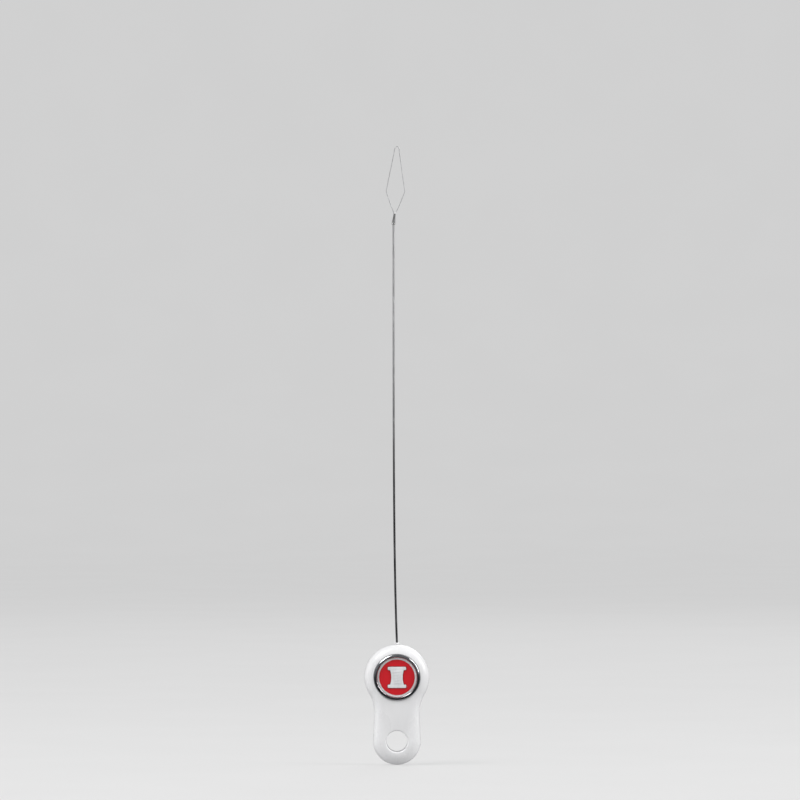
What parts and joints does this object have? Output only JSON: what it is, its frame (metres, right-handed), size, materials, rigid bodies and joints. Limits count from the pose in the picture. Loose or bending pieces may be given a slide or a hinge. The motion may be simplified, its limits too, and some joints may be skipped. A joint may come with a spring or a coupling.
{
  "type": "needle threader",
  "caption": "Needle threader: keyhole plastic handle with a medallion and hang hole, a long fine steel rod, and a springy diamond wire loop that squeezes through a needle's eye.",
  "frame": {"origin": "centre of the handle's head, on the plane where its two shells meet, where finger and thumb hold it", "axes": "+Z along the tool from the handle to the wire loop, -Y out of the medallion's face, +X to the medallion's right"},
  "size_m": [0.0166, 0.0061, 0.1584],
  "materials": {
    "handle_plastic": "glossy white moulding",
    "bezel_chrome": "bright plated",
    "adhesive": "foam adhesive",
    "silver_face": "fine satin",
    "red_enamel": "gloss enamel",
    "emblem_silver": "satin, raised",
    "rod_steel": "bright drawn wire",
    "solder": "smooth bright solder",
    "fine_wire": "bright drawn hair wire"
  },
  "bodies": {
    "handle_and_rod": {"handle_front_shell": "handle_plastic", "handle_back_cover": "handle_plastic", "medallion_bezel": "bezel_chrome", "medallion_adhesive_pad": "adhesive", "medallion_disc": "silver_face", "medallion_enamel": "red_enamel", "medallion_spool_emblem": "emblem_silver", "rod": "rod_steel", "rod_socket_collar": "handle_plastic", "binding_solder_bead": "solder", "binding_winding_left": "fine_wire", "binding_winding_right": "fine_wire"},
    "loop_lower_left": {"loop_lower_left_leg": "fine_wire"},
    "loop_upper_left": {"loop_upper_left_leg": "fine_wire"},
    "loop_nose": {"loop_nose": "fine_wire"},
    "loop_lower_right": {"loop_lower_right_leg": "fine_wire"},
    "loop_upper_right": {"loop_upper_right_leg": "fine_wire"}
  },
  "joints": [
    {"name": "loop_squeeze", "type": "hinge", "parent": "handle_and_rod", "child": "loop_lower_left", "pos_m": [-0.00079, 0, 0.11886], "axis": [0, 1, 0], "range_deg": [0, 17.5], "stiffness_Nm_per_rad": 0.0004},
    {"name": "left_corner_bend", "type": "hinge", "parent": "loop_lower_left", "child": "loop_upper_left", "pos_m": [-0.00277, 0, 0.12448], "axis": [0, 1, 0], "range_deg": [-27.3, 0], "stiffness_Nm_per_rad": 0.00005},
    {"name": "nose_bend", "type": "hinge", "parent": "loop_upper_left", "child": "loop_nose", "pos_m": [-0.00065, 0, 0.13476], "axis": [0, 1, 0], "range_deg": [0, 9.8], "stiffness_Nm_per_rad": 0.0000005},
    {"name": "right_base_bend", "type": "hinge", "parent": "handle_and_rod", "child": "loop_lower_right", "pos_m": [-0.00033, 0, 0.11884], "axis": [0, 1, 0], "range_deg": [-17.5, 0], "stiffness_Nm_per_rad": 0.00005},
    {"name": "right_corner_bend", "type": "hinge", "parent": "loop_lower_right", "child": "loop_upper_right", "pos_m": [0.00202, 0, 0.12432], "axis": [0, 1, 0], "range_deg": [0, 27.3], "stiffness_Nm_per_rad": 0.00005}
  ],
  "couplings": [
    {"joint": "left_corner_bend", "follows": "loop_squeeze", "ratio": -1.5545},
    {"joint": "nose_bend", "follows": "loop_squeeze", "ratio": 0.5545},
    {"joint": "right_base_bend", "follows": "loop_squeeze", "ratio": -1},
    {"joint": "right_corner_bend", "follows": "loop_squeeze", "ratio": 1.5545}
  ]
}
